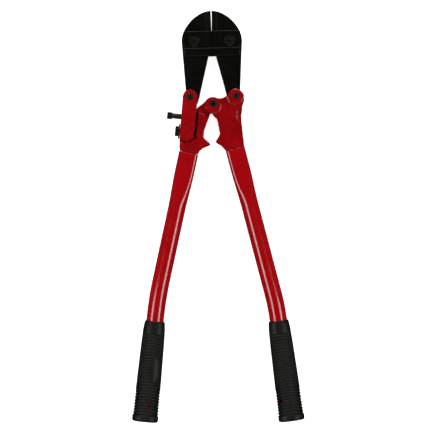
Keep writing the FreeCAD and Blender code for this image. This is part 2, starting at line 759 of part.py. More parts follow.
block = new_body("screw_block")
slab = sketch(block, "screw_block_slab", level="-Dims.ear_half_gap")
half_wide, half_tall = "Dims.block_wide / 2", "Dims.block_tall / 2"
outline(
    slab,
    [
        (f"-{half_wide}", f"-{half_tall}", "1.5"),
        (half_wide, f"-{half_tall}", "1.5"),
        (half_wide, half_tall, "1.5"),
        (f"-{half_wide}", half_tall, "1.5"),
    ],
)
pad(block, slab, "2 * Dims.ear_half_gap")
tapped = sketch(block, "screw_block_thread", "YZ_Plane", level=f"-{half_wide} - 1")
circle(tapped, "Dims.screw_rad + Dims.run_gap")
cut(block, tapped, "Dims.block_wide + 2")
place(block, *on_link(0, cell("block_height")), cell("link_turn"))

# square-headed set screw: through the block, its tip faces the left head's ridge
screw = new_body("adjusting_screw")
rod = sketch(screw, "adjusting_screw_rod", "YZ_Plane", level="Dims.screw_neck_x")
circle(rod, "Dims.screw_rad")
pad(screw, rod, "Dims.screw_tip_x - Dims.screw_neck_x")
knob = sketch(screw, "adjusting_screw_square", "YZ_Plane", level="Dims.screw_neck_x - Dims.screw_square_long")
half = "Dims.screw_square / 2"
outline(knob, [(f"-{half}", f"-{half}", "1"), (half, f"-{half}", "1"), (half, half, "1"), (f"-{half}", half, "1")])
pad(screw, knob, "Dims.screw_square_long")
place(screw, *on_link(0, cell("block_height")), cell("link_turn"))

# lock bolt and its broad washer, on the outer edge of the link
lock = new_body("lock_bolt")
stem = sketch(lock, "lock_bolt_stem", "YZ_Plane", level="Dims.washer_face_x - Dims.washer_thick")
circle(stem, "Dims.lock_rad")
pad(lock, stem, "Dims.lock_end_x - Dims.washer_face_x + Dims.washer_thick")
cap = sketch(lock, "lock_bolt_cap", "YZ_Plane", level="Dims.washer_face_x - Dims.washer_thick - Dims.lock_cap_thick")
hexagon(cap, "Dims.lock_flats")
pad(lock, cap, "Dims.lock_cap_thick")
place(lock, cell("trunnion_x"), cell("trunnion_y"), cell("link_turn"))

washer = new_body("lock_washer")
ring = sketch(washer, "lock_washer_ring", "YZ_Plane", level="Dims.washer_face_x - Dims.washer_thick")
circle(ring, "Dims.washer_rad")
circle(ring, "Dims.lock_rad + Dims.run_gap")
pad(washer, ring, "Dims.washer_thick")
place(washer, cell("trunnion_x"), cell("trunnion_y"), cell("link_turn"))


# ---------------------------------------------------------------- tubes
def oval(name, wide, thick, along):
    """An ellipse across the handle at a distance from the handle's origin, in the handle's own frame."""
    made = doc.addObject("Part::Ellipse", name)
    wide_value, thick_value = doc_value(wide), doc_value(thick)
    made.MajorRadius = wide_value
    made.MinorRadius = thick_value
    made.setExpression("MajorRadius", wide)
    made.setExpression("MinorRadius", thick)
    made.Placement = Placement(Vector(0, -doc_value(along), 0), Rotation(Vector(1, 0, 0), 90))
    made.setExpression("Placement.Base.y", f"-({along})")
    made.Visibility = False
    return made


def loft(name, sections):
    made = doc.addObject("Part::Loft", name)
    made.Sections = sections
    made.Solid = True
    made.Ruled = True
    made.Closed = False
    made.Visibility = False
    return made


def tube_path(name, run, bend, bend_rad, hand, end):
    """Straight, one large bend, straight; starts where the flattened mouth has become round."""
    radius = cell(bend_rad)
    sweep_angle = math.radians(cell(bend))
    start = Vector(0, -cell("mouth_blend"), 0)
    first = Vector(0, -cell(run) + radius * math.tan(sweep_angle / 2), 0)
    centre = first + Vector(hand * radius, 0, 0)
    arc_middle = centre + Vector(-hand * radius * math.cos(sweep_angle / 2), -radius * math.sin(sweep_angle / 2), 0)
    second = centre + Vector(-hand * radius * math.cos(sweep_angle), -radius * math.sin(sweep_angle), 0)
    # the second straight leans back towards the tool's middle line
    lead = Vector(hand * math.sin(sweep_angle), -math.cos(sweep_angle), 0)
    last = second + lead * end
    path = Part.Wire([
        Part.LineSegment(start, first).toShape(),
        Part.Arc(first, arc_middle, second).toShape(),
        Part.LineSegment(second, last).toShape(),
    ])
    made = doc.addObject("Part::Feature", name)
    made.Shape = path
    made.Visibility = False
    return made, second, lead


def handle(side, hand):
    run, bend = f"{side}_run", f"{side}_bend"
    mouth = (cell(f"{side}_mouth_x"), cell(f"{side}_mouth_y"), cell(f"{side}_tube_turn"))
    # the grip starts a little below the bend; the tube ends inside it
    below = cell(f"{side}_grip_from_bend")
    under = below + cell("grip_length") - cell("grip_end_wall")
    path, bend_end, lead = tube_path(f"{side}_tube_path", run, bend, f"{side}_bend_rad", -hand, under)
    blend = "Dims.mouth_blend"
    solids = {}
    for layer, shrink in (("outer", "0"), ("inner", "Dims.tube_wall")):
        extra = "0" if layer == "outer" else "1"
        flat = loft(
            f"{side}_tube_{layer}_mouth",
            [
                oval(f"{side}_{layer}_oval_a", f"Dims.mouth_half_wide - {shrink}", f"Dims.mouth_half_thick - {shrink}", f"0 - {extra}"),
                oval(f"{side}_{layer}_oval_b", f"Dims.mouth_half_wide - {shrink}", f"Dims.mouth_half_thick - {shrink}", "Dims.mouth_blend * 0.4"),
                oval(f"{side}_{layer}_oval_c", f"Dims.tube_rad + 0.35 - {shrink}", f"Dims.tube_rad - 0.45 - {shrink}", "Dims.mouth_blend * 0.8"),
                oval(f"{side}_{layer}_oval_d", f"Dims.tube_rad - {shrink}", f"Dims.tube_rad - {shrink}", blend),
            ],
        )
        ring = doc.addObject("Part::Circle", f"{side}_{layer}_ring")
        ring.Radius = doc_value(f"Dims.tube_rad - {shrink}")
        ring.setExpression("Radius", f"Dims.tube_rad - {shrink}")
        ring.Placement = Placement(Vector(0, -cell("mouth_blend"), 0), Rotation(Vector(1, 0, 0), 90))
        ring.Visibility = False
        round_part = doc.addObject("Part::Sweep", f"{side}_tube_{layer}_run")
        round_part.Sections = [ring]
        round_part.Spine = (path, ["Edge1", "Edge2", "Edge3"])
        round_part.Solid = True
        round_part.Frenet = False
        joined = doc.addObject("Part::Fuse", f"{side}_tube_{layer}")
        joined.Base = flat
        joined.Tool = round_part
        solids[layer] = joined
    hollow = doc.addObject("Part::Cut", f"{side}_tube_hollow")
    hollow.Base = solids["outer"]
    hollow.Tool = solids["inner"]
    # cross hole for the drive pin
    pin_hole = doc.addObject("Part::Cylinder", f"{side}_tube_pin_hole")
    pin_hole.setExpression("Radius", "Dims.pin_rad")
    pin_hole.setExpression("Height", "2 * Dims.mouth_half_thick + 2")
    pin_hole.Placement = Placement(Vector(0, -cell("pin_from_mouth"), -cell("mouth_half_thick") - 1), Rotation())
    tube = doc.addObject("Part::Cut", f"{side}_tube")
    tube.Base = hollow
    tube.Tool = pin_hole
    keep(tube, f"{side}_tube")
    place(tube, *mouth)

    # grip: a solid of oval sections less the tube's bore
    skin = loft(
        f"{side}_grip_skin",
        [
            oval(f"{side}_grip_oval_{n}", f"Dims.grip_wide{n}", f"Dims.grip_thick{n}", f"Dims.grip_at{n}")
            for n in range(1, len(GRIP_SECTIONS) + 1)
        ],
    )
    bore = doc.addObject("Part::Cylinder", f"{side}_grip_bore")
    bore.setExpression("Radius", "Dims.tube_rad + Dims.grip_bore_gap")
    bore.setExpression("Height", "Dims.grip_length - Dims.grip_end_wall + 1")
    bore.Placement = Placement(Vector(0, 1, 0), Rotation(Vector(1, 0, 0), 90))
    sleeve = doc.addObject("Part::Cut", f"{side}_grip_sleeve")
    sleeve.Base = skin
    sleeve.Tool = bore
    # small round vent hole through the wall, over the tube
    peep = doc.addObject("Part::Cylinder", f"{side}_grip_peep")
    peep.setExpression("Radius", "Dims.grip_hole_rad")
    peep.setExpression("Height", "Dims.tube_rad + 7")
    peep.Placement = Placement(
        Vector(0, cell(f"{side}_hole_from_end") - cell("grip_length"), 0),
        Rotation(Vector(0, 1, 0), cell(f"{side}_hole_turn")),
    )
    grip = doc.addObject("Part::Cut", f"{side}_grip")
    grip.Base = sleeve
    grip.Tool = peep
    keep(grip, f"{side}_grip")
    turn = cell(f"{side}_tube_turn") - hand * cell(bend)
    base = Placement(Vector(mouth[0], mouth[1], 0), Rotation(Vector(0, 0, 1), mouth[2]))
    spot = base.multVec(bend_end + lead * below)
    place(grip, spot.x, spot.y, turn)

    # drive pin through tube and tang
    pin = new_body(f"{side}_tube_pin")
    disc(pin, f"{side}_tube_pin_rod", "-Dims.pin_half_length", "2 * Dims.pin_half_length", "Dims.pin_rad - Dims.run_gap")
    at = base.multVec(Vector(0, -cell("pin_from_mouth"), 0))
    place(pin, at.x, at.y, mouth[2])


handle("left", -1)
handle("right", 1)


# drive-pin holes through the tangs
def tang_hole(side):
    head = [thing for thing in NODES if thing.Label == f"{side}_handle_head"][0]
    base = Placement(
        Vector(cell(f"{side}_mouth_x"), cell(f"{side}_mouth_y"), 0),
        Rotation(Vector(0, 0, 1), cell(f"{side}_tube_turn")),
    )
    at = base.multVec(Vector(0, -cell("pin_from_mouth"), 0))
    made = sketch(head, f"{side}_tang_pin_hole", level="-Dims.tang_half_thick - 1")
    number = made.addGeometry(Part.Circle(Vector(at.x, at.y, 0), Vector(0, 0, 1), cell("pin_rad")))
    made.addConstraint(Sketcher.Constraint("DistanceX", -1, 1, number, 3, at.x))
    made.addConstraint(Sketcher.Constraint("DistanceY", -1, 1, number, 3, at.y))
    bind(made, "Radius", number, "Dims.pin_rad")
    cut(head, made, "2 * Dims.tang_half_thick + 2")


tang_hole("left")
tang_hole("right")
doc.recompute()

# ---------------------------------------------------------------- checks and export
for item in doc.Objects:
    if "Invalid" in item.State or "Error" in item.State:
        raise RuntimeError(f"{item.Label}: {item.State}")
box = FreeCAD.BoundBox()
for node in NODES:
    shape = node.Shape
    if shape.isNull() or not shape.isValid() or shape.Volume <= 0 or not shape.Solids:
        raise RuntimeError(f"{node.Label}: bad shape")
    box.add(shape.BoundBox)
os.makedirs("parts", exist_ok=True)
for node in NODES:
    node.Shape.exportStep(f"parts/{node.Label}.step")
    print(node.Label, len(node.Shape.Solids), round(node.Shape.Volume, 1))
print(len(NODES), "nodes; box", [round(v, 2) for v in (box.XMin, box.XMax, box.YMin, box.YMax, box.ZMin, box.ZMax)])
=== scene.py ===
import json
import math

import bmesh
import bpy
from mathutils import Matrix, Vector


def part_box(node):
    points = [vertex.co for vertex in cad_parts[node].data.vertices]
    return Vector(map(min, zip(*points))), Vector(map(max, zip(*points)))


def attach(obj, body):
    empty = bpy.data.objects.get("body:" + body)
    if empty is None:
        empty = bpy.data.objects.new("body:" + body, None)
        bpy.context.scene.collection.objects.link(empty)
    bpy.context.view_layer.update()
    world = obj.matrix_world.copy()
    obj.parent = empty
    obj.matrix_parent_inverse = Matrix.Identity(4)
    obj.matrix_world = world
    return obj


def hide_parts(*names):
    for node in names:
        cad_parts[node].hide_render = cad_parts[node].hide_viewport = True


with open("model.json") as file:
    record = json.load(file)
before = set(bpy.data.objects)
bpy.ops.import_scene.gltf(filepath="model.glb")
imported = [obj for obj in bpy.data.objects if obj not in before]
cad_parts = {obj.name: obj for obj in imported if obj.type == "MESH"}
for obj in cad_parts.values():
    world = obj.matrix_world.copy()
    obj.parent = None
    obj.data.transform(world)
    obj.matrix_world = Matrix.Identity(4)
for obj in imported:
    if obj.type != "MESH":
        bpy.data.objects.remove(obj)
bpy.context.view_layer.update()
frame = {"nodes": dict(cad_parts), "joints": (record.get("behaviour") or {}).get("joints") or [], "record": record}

# Bolt cutters lying flat on a pale floor, seen from straight above.
# Points are vectors in metres in the CAD's own frame. Sizes of the tool are in millimetres and become
# metres through MM. The floor, the lights and the camera are in metres.
MM = 0.001
UP = Vector((0, 0, 1))
JOINTS = {joint["name"]: joint for joint in frame["joints"]}
MOUNTS = {mount["name"]: mount for mount in frame["record"]["mounts"]}


def pivot(joint_name):
    """Where a joint's axis crosses the tool's mid plane."""
    return Vector(JOINTS[joint_name]["pos_m"])


RIGHT_JAW_PIVOT = pivot("right_handle_swing")
TRUNNION = pivot("link_adjust")
MID = RIGHT_JAW_PIVOT.z
CENTRE = (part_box("center_bolt")[0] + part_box("center_bolt")[1]) / 2
CENTRE.z = MID


def spot(x_mm, y_mm):
    """A point measured from the centre pivot at mid thickness, in millimetres."""
    return CENTRE + Vector((x_mm, y_mm, 0)) * MM


# ---------------------------------------------------------------- node materials
# the part of a noise's range over which most tones change
NOISE_LOW = 0.3
NOISE_HIGH = 0.7
PAINT_SPECULAR = 0.42
OXIDE_SPECULAR = 0.3
RUBBER_SPECULAR = 0.16
TURNED_METALLIC = 0.85
# where the front strap's face bends down to its lower edge, and a painted highlight line along it, standing for
# light caught by the bevel's edge
STRAP_BEND_FROM_CENTRE = 82.0
STRAP_BEND = CENTRE.y / MM + STRAP_BEND_FROM_CENTRE
HIGHLIGHT_LINE_HALF_WIDTH = 0.9
PAINTED_HIGHLIGHT_COLOUR = (0.016, 0.016, 0.013)


def shader_of(material):
    return material.node_tree.nodes["Principled BSDF"]


def new_material(name, roughness, metallic=0.0, specular=0.5):
    material = bpy.data.materials.new(name)
    material.use_nodes = True
    shader = shader_of(material)
    shader.inputs["Roughness"].default_value = roughness
    shader.inputs["Metallic"].default_value = metallic
    shader.inputs["Specular IOR Level"].default_value = specular
    return material


def add(material, kind, **values):
    """A node with its inputs set by name; spaces in a name are written as underscores."""
    node = material.node_tree.nodes.new(kind)
    for key, value in values.items():
        node.inputs[key.replace("_", " ")].default_value = value
    return node


def join(material, source, output, target, socket):
    material.node_tree.links.new(source.outputs[output], target.inputs[socket])


def coordinates(material, stretch=(1, 1, 1)):
    place = add(material, "ShaderNodeTexCoord")
    mapping = add(material, "ShaderNodeMapping", Scale=stretch)
    join(material, place, "Object", mapping, "Vector")
    return mapping


def noise(material, size_mm, detail, stretch=(1, 1, 1), rough=0.55):
    """Noise whose blotches are about size_mm across."""
    texture = add(material, "ShaderNodeTexNoise", Scale=1 / (size_mm * MM), Detail=detail, Roughness=rough)
    join(material, coordinates(material, stretch), "Vector", texture, "Vector")
    return texture


def ramp(material, source, output, stops):
    """A colour ramp over a value; stops are (position, colour)."""
    node = add(material, "ShaderNodeValToRGB")
    elements = node.color_ramp.elements
    while len(elements) < len(stops):
        elements.new(0.5)
    for element, (position, colour) in zip(elements, stops):
        element.position = position
        element.color = (*colour, 1)
    join(material, source, output, node, "Fac")
    return node


def grey(value):
    return (value, value, value)


def vary(material, socket, texture, low, high, top=NOISE_HIGH):
    """Lets a shader socket wander between two tones with a noise."""
    tones = ramp(material, texture, "Fac", [(NOISE_LOW, low), (top, high)])
    join(material, tones, "Color", shader_of(material), socket)


def bump_from(material, layers):
    """Bumps laid over each other; each layer is (noise, height in mm)."""
    previous = None
    for texture, height_mm in layers:
        bump = add(material, "ShaderNodeBump", Strength=1.0, Distance=height_mm * MM)
        join(material, texture, "Fac", bump, "Height")
        if previous is not None:
            join(material, previous, "Normal", bump, "Normal")
        previous = bump
    join(material, previous, "Normal", shader_of(material), "Normal")


def along_tool(material, start_mm, end_mm):
    """A value that rises from 0 to 1 between two distances up the tool."""
    split = add(material, "ShaderNodeSeparateXYZ")
    climb = add(material, "ShaderNodeMapRange", From_Min=start_mm * MM, From_Max=end_mm * MM)
    join(material, coordinates(material), "Vector", split, "Vector")
    join(material, split, "Y", climb, "Value")
    return climb


def painted_highlight_line(material, middle_mm, half_mm, colour):
    """A painted highlight: a pale line straight across the tool, standing for light caught on an edge, laid over
    the material's own colour.
    """
    links = material.node_tree.links
    base_colour = shader_of(material).inputs["Base Color"]
    ground = base_colour.links[0].from_socket
    across = along_tool(material, middle_mm - half_mm, middle_mm + half_mm)
    # the painted highlight is strongest at the middle of the line and fades to nothing at its sides
    strength = ramp(material, across, "Result", [(0.0, grey(0.0)), (0.5, grey(1.0)), (1.0, grey(0.0))])
    mix = add(material, "ShaderNodeMix")
    mix.data_type = "RGBA"
    # the node has sockets for every type of value; only its colour ones are used
    under, over = [socket for socket in mix.inputs if socket.type == "RGBA"]
    mixed = [socket for socket in mix.outputs if socket.type == "RGBA"][0]
    links.new(ground, under)
    over.default_value = (*colour, 1)
    links.new(strength.outputs["Color"], mix.inputs["Factor"])
    links.new(mixed, base_colour)


def enamel(name, deep, bright, roughness, cast_mm):
    """Glossy paint over steel: uneven depth of colour, orange peel, and the casting's own skin."""
    material = new_material(name, roughness, specular=PAINT_SPECULAR)
    vary(material, "Base Color", noise(material, size_mm=26, detail=4), deep, bright)
    gloss = noise(material, size_mm=9, detail=5)
    vary(material, "Roughness", gloss, grey(roughness * 0.8), grey(roughness * 1.35), top=0.75)
    layers = [(noise(material, size_mm=1.6, detail=2), 0.012)]
    if cast_mm:
        layers.insert(0, (noise(material, size_mm=4.5, detail=4, rough=0.6), cast_mm))
    bump_from(material, layers)
    return material


def oxide(name, deep, bright, roughness):
    """Black oxide on forged steel: mottled, faintly oily, with fine draw marks along the tool."""
    material = new_material(name, roughness, specular=OXIDE_SPECULAR)
    vary(material, "Base Color", noise(material, size_mm=7, detail=6, rough=0.65), deep, bright, top=0.72)
    film = noise(material, size_mm=15, detail=5)
    vary(material, "Roughness", film, grey(roughness * 0.85), grey(roughness * 1.2))
    marks = noise(material, size_mm=0.9, detail=3, stretch=(1, 0.12, 1))
    pits = noise(material, size_mm=1.4, detail=4, rough=0.7)
    bump_from(material, [(pits, 0.05), (marks, 0.02)])
    return material


def turned_steel(name, deep, bright, roughness):
    """Darkened steel on a turned part: metallic, with a fine uneven skin."""
    material = new_material(name, roughness, metallic=TURNED_METALLIC)
    vary(material, "Base Color", noise(material, size_mm=2.6, detail=5, rough=0.65), deep, bright)
    film = noise(material, size_mm=1.3, detail=4)
    vary(material, "Roughness", film, grey(roughness * 0.8), grey(roughness * 1.3))
    bump_from(material, [(noise(material, size_mm=0.6, detail=3), 0.015)])
    return material


def rubber(name, deep, bright, roughness):
    """Matt moulded rubber with a fine grain and a dusty bloom."""
    material = new_material(name, roughness, specular=RUBBER_SPECULAR)
    vary(material, "Base Color", noise(material, size_mm=12, detail=6, rough=0.6), deep, bright, top=0.72)
    vary(material, "Roughness", noise(material, size_mm=5, detail=5), grey(0.40), grey(0.55))
    pebble = noise(material, size_mm=1.7, detail=3)
    grain = noise(material, size_mm=0.5, detail=4, rough=0.7)
    bump_from(material, [(pebble, 0.05), (grain, 0.04)])
    return material


HEAD_RED = enamel(
    "red_enamel",
    deep=(0.115, 0.0003, 0.0009),
    bright=(0.195, 0.0005, 0.0015),
    roughness=0.13,
    cast_mm=0.45,
)
LINK_RED = enamel(
    "red_enamel_plate",
    deep=(0.155, 0.0003, 0.0011),
    bright=(0.186, 0.0005, 0.0016),
    roughness=0.13,
    cast_mm=0.06,
)
TUBE_RED = enamel(
    "red_tube_enamel",
    deep=(0.190, 0.0005, 0.0016),
    bright=(0.218, 0.0008, 0.0022),
    roughness=0.11,
    cast_mm=0.0,
)
JAW_BLACK = oxide(
    "black_oxide", deep=(0.0008, 0.0009, 0.0004), bright=(0.0020, 0.0021, 0.0012), roughness=0.24
)
STRAP_BLACK = oxide(
    "black_oxide_plate", deep=(0.0009, 0.0010, 0.0005), bright=(0.0022, 0.0022, 0.0013), roughness=0.22
)
# a painted highlight line along the strap's bend, where its bevel edge would catch light
painted_highlight_line(STRAP_BLACK, STRAP_BEND, HIGHLIGHT_LINE_HALF_WIDTH, PAINTED_HIGHLIGHT_COLOUR)
CAP_BLACK = oxide(
    "black_oxide_cap", deep=(0.0012, 0.0013, 0.0008), bright=(0.0040, 0.0040, 0.0028), roughness=0.30
)
CAP_STEEL = turned_steel(
    "dark_steel", deep=(0.022, 0.023, 0.019), bright=(0.055, 0.056, 0.050), roughness=0.30
)
BOLT_BLACK = turned_steel(
    "black_bolt_steel", deep=(0.012, 0.012, 0.010), bright=(0.030, 0.030, 0.026), roughness=0.32
)
GRIP_RUBBER = rubber(
    "grip_rubber", deep=(0.0022, 0.0022, 0.0017), bright=(0.0044, 0.0042, 0.0034), roughness=0.42
)

# ---------------------------------------------------------------- mesh helpers
# CAD corners closer than this are one corner
JOIN_WITHIN = 0.002
# angles in degrees: faces that meet at less are one flat face, and edges that turn by more are sharp
FLAT_WITHIN = 1.5
SHARP_OVER = 35


def placed(name, data):
    """A new object in the scene."""
    item = bpy.data.objects.new(name, data)
    bpy.context.scene.collection.objects.link(item)
    return item


def new_object(name, mesh, material, body=None, sharp_over=SHARP_OVER):
    """A finished piece; its faces are smooth, with edges that turn by more than an angle kept crisp."""
    piece = placed(name, mesh)
    mesh.materials.clear()
    mesh.materials.append(material)
    for face in mesh.polygons:
        face.use_smooth = True
    mesh.set_sharp_from_angle(angle=math.radians(sharp_over))
    if body:
        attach(piece, body)
    return piece


def mesh_of(bm):
    """The mesh made from a bmesh, which is then freed."""
    mesh = bpy.data.meshes.new("made")
    bm.to_mesh(mesh)
    bm.free()
    return mesh


def build(maker, *args):
    """A mesh from a function that fills a bmesh with closed skins."""
    bm = bmesh.new()
    maker(bm, *args)
    bmesh.ops.recalc_face_normals(bm, faces=bm.faces)
    return mesh_of(bm)


def cad_mesh(node):
    """A copy of a CAD node's mesh with its split edges joined again."""
    bm = bmesh.new()
    bm.from_mesh(frame["nodes"][node].data)
    bmesh.ops.remove_doubles(bm, verts=bm.verts, dist=JOIN_WITHIN * MM)
    return mesh_of(bm)


def merged(meshes):
    """Several closed meshes in one, still overlapping."""
    bm = bmesh.new()
    for mesh in meshes:
        bm.from_mesh(mesh)
    return mesh_of(bm)


def skin_rings(bm, rings):
    """Quads between closed rings of points that all have the same count, and a fan over each end."""
    rows = [[bm.verts.new(point) for point in ring] for ring in rings]
    count = len(rows[0])
    for first, second in zip(rows, rows[1:]):
        for i in range(count):
            j = (i + 1) % count
            bm.faces.new((first[i], first[j], second[j], second[i]))
    for row in (rows[0], rows[-1]):
        middle = bm.verts.new(sum((v.co for v in row), Vector()) / count)
        for i in range(count):
            bm.faces.new((row[i], row[(i + 1) % count], middle))


def circle(middle, across, other, radius, sides):
    """Points of a circle in the plane of two unit directions."""
    turns = [2 * math.pi * i / sides for i in range(sides)]
    return [middle + (across * math.cos(turn) + other * math.sin(turn)) * radius for turn in turns]


def rod(bm, start, end, radius, end_radius, sides=64):
    """A round bar between two points, with a radius at each end."""
    axis = (end - start).normalized()
    across = axis.orthogonal().normalized()
    other = axis.cross(across)
    skin_rings(bm, [
        circle(start, across, other, radius, sides),
        circle(end, across, other, end_radius, sides),
    ])


def modify(piece, kind, **settings):
    """Adds a modifier with its settings to the end of a piece's stack."""
    modifier = piece.modifiers.new(kind.lower(), kind)
    for key, value in settings.items():
        setattr(modifier, key, value)


def evaluated(piece):
    """A working piece's mesh with its modifiers applied; the piece itself goes."""
    graph = bpy.context.evaluated_depsgraph_get()
    mesh = bpy.data.meshes.new_from_object(piece.evaluated_get(graph))
    bpy.data.objects.remove(piece)
    return mesh


def carve(mesh, tools):
    """The mesh with closed tool meshes cut out of it."""
    piece = placed("work", mesh)
    helpers = [placed("tool", tool) for tool in tools]
    for helper in helpers:
        modify(piece, "BOOLEAN", object=helper, operation="DIFFERENCE", solver="EXACT")
    result = evaluated(piece)
    for helper in helpers:
        bpy.data.objects.remove(helper)
    return result


def forged(meshes, voxel_mm, rounds):
    """One skin over overlapping solids, with the soft edges and fillets of a forging."""
    piece = placed("work", merged(meshes))
    modify(piece, "REMESH", mode="VOXEL", voxel_size=voxel_mm * MM)
    modify(piece, "SMOOTH", factor=0.5, iterations=rounds)
    return evaluated(piece)


def dress(node, material, bevel_mm, segments):
    """A CAD node that is shown as it is: its material, and a small round on its sharp edges."""
    piece = frame["nodes"][node]
    piece.data.materials.clear()
    piece.data.materials.append(material)
    modify(piece, "WELD", merge_threshold=JOIN_WITHIN * MM)
    modify(piece, "DECIMATE", decimate_type="DISSOLVE", angle_limit=math.radians(FLAT_WITHIN))
    modify(
        piece,
        "BEVEL",
        width=bevel_mm * MM,
        segments=segments,
        limit_method="ANGLE",
        angle_limit=math.radians(SHARP_OVER),
        use_clamp_overlap=False,
    )
    modify(piece, "WEIGHTED_NORMAL", keep_sharp=False)


# ---------------------------------------------------------------- handles: centreline of each side
TUBE_RADIUS = 13.0
MOUNT_FROM_MOUTH = 110.0
GRIP_LENGTH = 149.3
TUBE_UNDER_GRIP = 142.3
# run is from the tube's mouth to the corner that its bend rounds off
HANDLES = {
    "left": {
        "hand": -1,
        "run": 221.2,
        "bend": math.radians(6.4),
        "bend_radius": 530.0,
        "grip_from_bend": 3.2,
    },
    "right": {
        "hand": 1,
        "run": 241.0,
        "bend": math.radians(7.1),
        "bend_radius": 300.0,
        "grip_from_bend": 2.8,
    },
}


def bend_start(side):
    """Distance from the tube's mouth to the start of its bend."""
    handle = HANDLES[side]
    return handle["run"] - handle["bend_radius"] * math.tan(handle["bend"] / 2)


def grip_start(side):
    """Distance from the tube's mouth to the top of the grip."""
    handle = HANDLES[side]
    return bend_start(side) + handle["bend_radius"] * handle["bend"] + handle["grip_from_bend"]


def centreline(side, along_mm):
    """Point and direction on a handle's centreline, at a distance from the tube's mouth."""
    handle = HANDLES[side]
    mount = MOUNTS[side + "_tube_seat"]
    down = Vector(mount["axis"]).normalized()
    mouth = Vector(mount["pos_m"]) - down * MOUNT_FROM_MOUTH * MM
    # the bend turns the handle back towards the middle line
    inward = down.cross(UP)
    if inward.x * handle["hand"] > 0:
        inward = -inward
    radius, bend = handle["bend_radius"], handle["bend"]
    straight = bend_start(side)
    turned = min(max((along_mm - straight) / radius, 0), bend)
    point = mouth + down * min(along_mm, straight) * MM
    point += (down * math.sin(turned) + inward * (1 - math.cos(turned))) * radius * MM
    direction = down * math.cos(turned) + inward * math.sin(turned)
    rest = along_mm - straight - radius * bend
    if rest > 0:
        point += direction * rest * MM
    return point, direction


def ease(value, start, end):
    """0 before start, 1 after end, and smooth between them."""
    share = min(max((value - start) / (end - start), 0), 1)
    return share * share * (3 - 2 * share)


def blend(first, second, share):
    return first + (second - first) * share


def oval_point(angle, half_wide, half_thick, power):
    """A point of a superellipse; a power of 2 is a plain ellipse, and more is squarer."""
    c, s = math.cos(angle), math.sin(angle)
    x = math.copysign(abs(c) ** (2 / power), c) * half_wide
    z = math.copysign(abs(s) ** (2 / power), s) * half_thick
    return x, z


# ---------------------------------------------------------------- tubes
MOUTH_HALF_WIDE = 14.5
MOUTH_HALF_THICK = 11.0
ROUND_POWER = 2.0
FLAT_POWER = 4.4
TUBE_WALL = 2.0
TUBE_LIP = 0.7
TUBE_SIDES = 96
TUBE_SHARP_OVER = 40
# distances from the mouth: the pressed-flat end stops, and the tube is fully round
FLAT_UNTIL = 30
ROUND_FROM = 84
# where the pin is pressed in, the tube's skin is dimpled
PIN_FROM_MOUTH = 12.0
DIMPLE_DEPTH = 1.3
DIMPLE_RADIUS = 4.6
# rings inside the bore, and the small round between the lip and the tube's outer side
BORE_RINGS = (60.0, 30.0, 6.0, TUBE_LIP)
LIP_ROUND = 0.25
# stations along the tube: 1 mm apart at the flat end, 3 mm where it changes shape, then evenly spread
CHANGE_STEP = 3
CHANGE_STATIONS = 20
FAR_STATIONS = 60


def tube_section(along, shrink):
    """Half width, half thickness and squareness of the tube at a distance from its mouth."""
    flat = 1 - ease(along, FLAT_UNTIL, ROUND_FROM)
    wide = blend(TUBE_RADIUS, MOUTH_HALF_WIDE, flat) - shrink
    thick = blend(TUBE_RADIUS, MOUTH_HALF_THICK, flat) - shrink
    return wide, thick, blend(ROUND_POWER, FLAT_POWER, flat)


def tube_rings(side, shrink, stations):
    """Rings of the tube's skin, or of a skin that lies inside it by shrink."""
    rings = []
    for along in stations:
        point, direction = centreline(side, along)
        across = UP.cross(direction)
        wide, thick, power = tube_section(along, shrink)
        ring = []
        for i in range(TUBE_SIDES):
            # half a step off the axes, so that no point falls on them
            x, z = oval_point(2 * math.pi * (i + 0.5) / TUBE_SIDES, wide, thick, power)
            dent = math.hypot(x, along - PIN_FROM_MOUTH) / DIMPLE_RADIUS
            if shrink == 0 and abs(z) > thick / 2:
                z -= math.copysign(DIMPLE_DEPTH * math.exp(-dent ** 4), z)
            ring.append(point + (across * x + UP * z) * MM)
        rings.append(ring)
    return rings


def tube(side):
    end = grip_start(side) + TUBE_UNDER_GRIP
    changed = FLAT_UNTIL + CHANGE_STEP * CHANGE_STATIONS
    near = [TUBE_LIP + n for n in range(FLAT_UNTIL)]
    change = [FLAT_UNTIL + CHANGE_STEP * n for n in range(1, CHANGE_STATIONS + 1)]
    far = [changed + (end - changed) * n / FAR_STATIONS for n in range(1, FAR_STATIONS + 1)]
    # bore from deep inside to the mouth, over the rounded lip, then the outside to the far end
    rings = tube_rings(side, TUBE_WALL, BORE_RINGS)
    rings += tube_rings(side, TUBE_WALL - TUBE_LIP, [0.0])
    rings += tube_rings(side, TUBE_LIP, [0.0])
    rings += tube_rings(side, LIP_ROUND, [LIP_ROUND])
    rings += tube_rings(side, 0, near + change + far)
    mesh = build(skin_rings, rings)
    piece = new_object(side + "_tube_body", mesh, TUBE_RED, side + "_handle", TUBE_SHARP_OVER)
    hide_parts(side + "_tube")


tube("left")
tube("right")

# ---------------------------------------------------------------- rubber grips
# distance from the grip's top, half width, half thickness: top shoulder, body, end bead
GRIP_PROFILE = [
    (0.0, 13.9, 13.6),
    (0.7, 14.6, 14.0),
    (3.0, 15.2, 14.4),
    (12.0, 16.2, 15.0),
    (30.0, 16.9, 15.4),
    (78.0, 17.9, 16.1),
    (127.0, 18.7, 16.7),
    (138.0, 19.0, 17.0),
    (142.0, 19.4, 17.4),
    (146.4, 19.45, 17.45),
    (148.4, 18.9, 16.9),
    (149.3, 17.4, 15.6),
]
GRIP_POWER = 2.25
GRIP_SIDES = 128
GRIP_SHARP_OVER = 50
GRIP_BORE = 13.05
